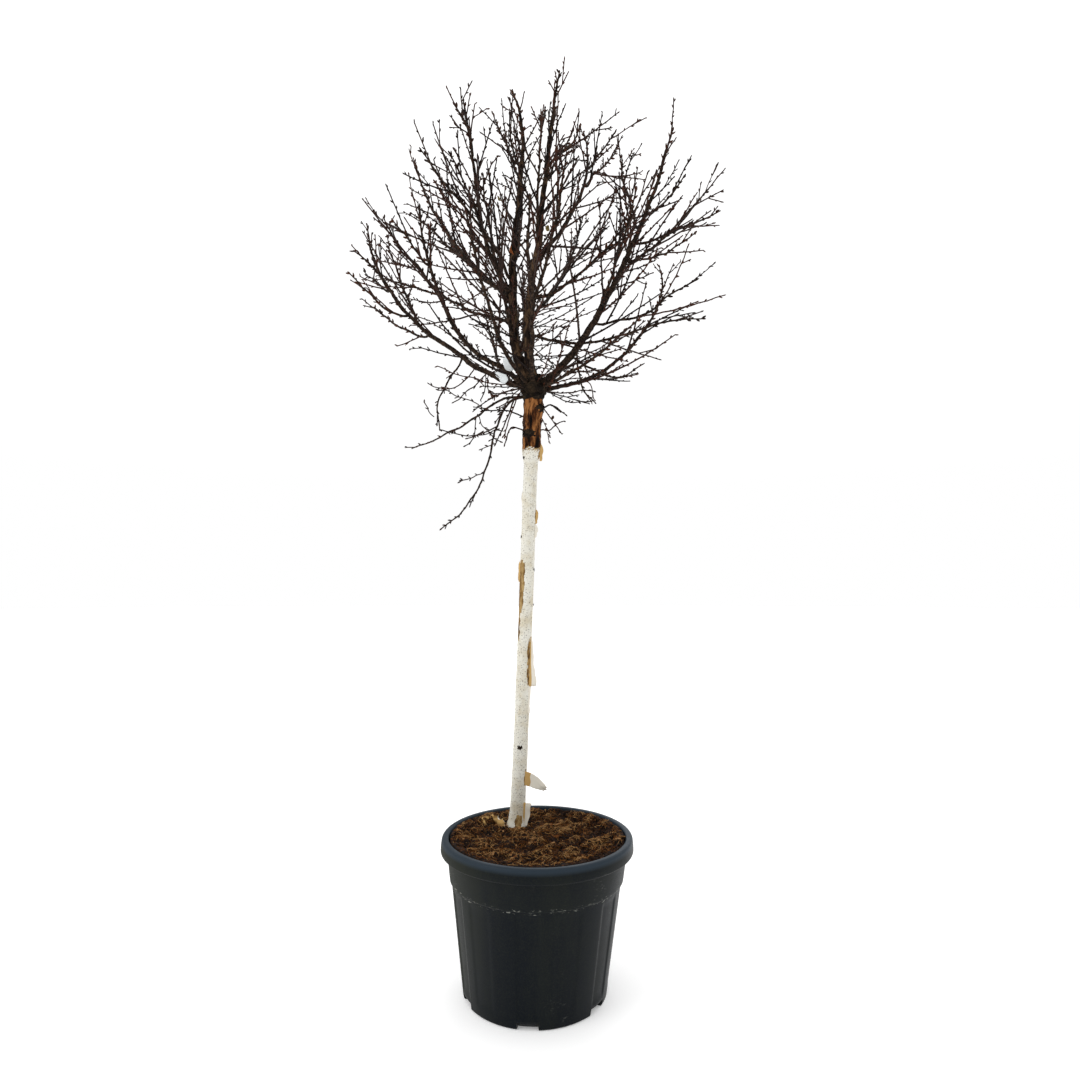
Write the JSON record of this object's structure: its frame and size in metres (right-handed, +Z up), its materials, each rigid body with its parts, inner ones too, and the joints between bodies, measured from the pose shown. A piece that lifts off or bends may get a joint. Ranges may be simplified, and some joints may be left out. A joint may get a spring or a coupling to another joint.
{
  "type": "potted standard birch tree, leafless, with a grafted globe crown",
  "caption": "Bare winter birch grafted as a standard: slim white stem, knobbly brown head and a round crown of fine dark boughs, in a tapered black nursery pot of compost.",
  "frame": {"origin": "on the flat underside of the pot, straight below the middle of its rim; the foot itself stands 5 mm to the left of that", "axes": "+Z up, -Y towards the front from which the tree is seen, +X to the right"},
  "size_m": [0.8736, 0.7261, 2.0766],
  "materials": {
    "pot_plastic": "injection-moulded black polypropylene, scuffed and dusty",
    "compost": "loose peat, bark chips and coconut fibre",
    "white_bark": "papery white birch bark with dark lenticels",
    "bough_bark": "smooth dark red-brown bark with pale lenticels"
  },
  "bodies": {
    "root": {"pot": "pot_plastic", "soil": "compost", "stem": "white_bark", "leader_left": "bough_bark", "leader_right": "bough_bark", "bough_right": "bough_bark", "bough_left_low": "bough_bark", "bough_left_high": "bough_bark", "bough_back_right": "bough_bark", "bough_front_right": "bough_bark", "bough_back": "bough_bark", "bough_back_left": "bough_bark", "bough_front": "bough_bark", "bough_front_left": "bough_bark", "shoot_low_left": "bough_bark", "shoot_drooping": "bough_bark", "left_fan_back_low": "bough_bark", "left_fan_back": "bough_bark", "left_fan_middle": "bough_bark", "left_fan_front": "bough_bark", "left_fan_fore": "bough_bark", "left_top_back": "bough_bark", "left_top_front": "bough_bark", "left_rear_low": "bough_bark", "left_rear_high": "bough_bark", "left_fore_low": "bough_bark", "fan_fork_tip": "bough_bark", "fan_fork_side": "bough_bark", "left_low_tip_back": "bough_bark", "left_low_tip_front": "bough_bark", "left_low_side": "bough_bark", "left_low_under": "bough_bark", "left_low_riser": "bough_bark", "left_low_hanger": "bough_bark", "left_high_tip": "bough_bark", "left_high_side": "bough_bark", "right_spray_long": "bough_bark", "right_spray_high": "bough_bark", "right_rear_fork": "bough_bark", "right_rear_low": "bough_bark", "right_fore_low": "bough_bark", "right_fore_high": "bough_bark", "right_top_back": "bough_bark", "right_top_front": "bough_bark", "rear_fork_outer": "bough_bark", "rear_fork_inner": "bough_bark", "right_hanger": "bough_bark", "right_low_shoot": "bough_bark", "right_level_shoot": "bough_bark", "right_outer_spray": "bough_bark", "right_outer_side": "bough_bark", "right_outer_tip": "bough_bark", "right_inner_back": "bough_bark", "right_inner_front": "bough_bark", "right_upper_side": "bough_bark", "right_fore_side": "bough_bark", "right_rear_side": "bough_bark"}
  },
  "joints": []
}
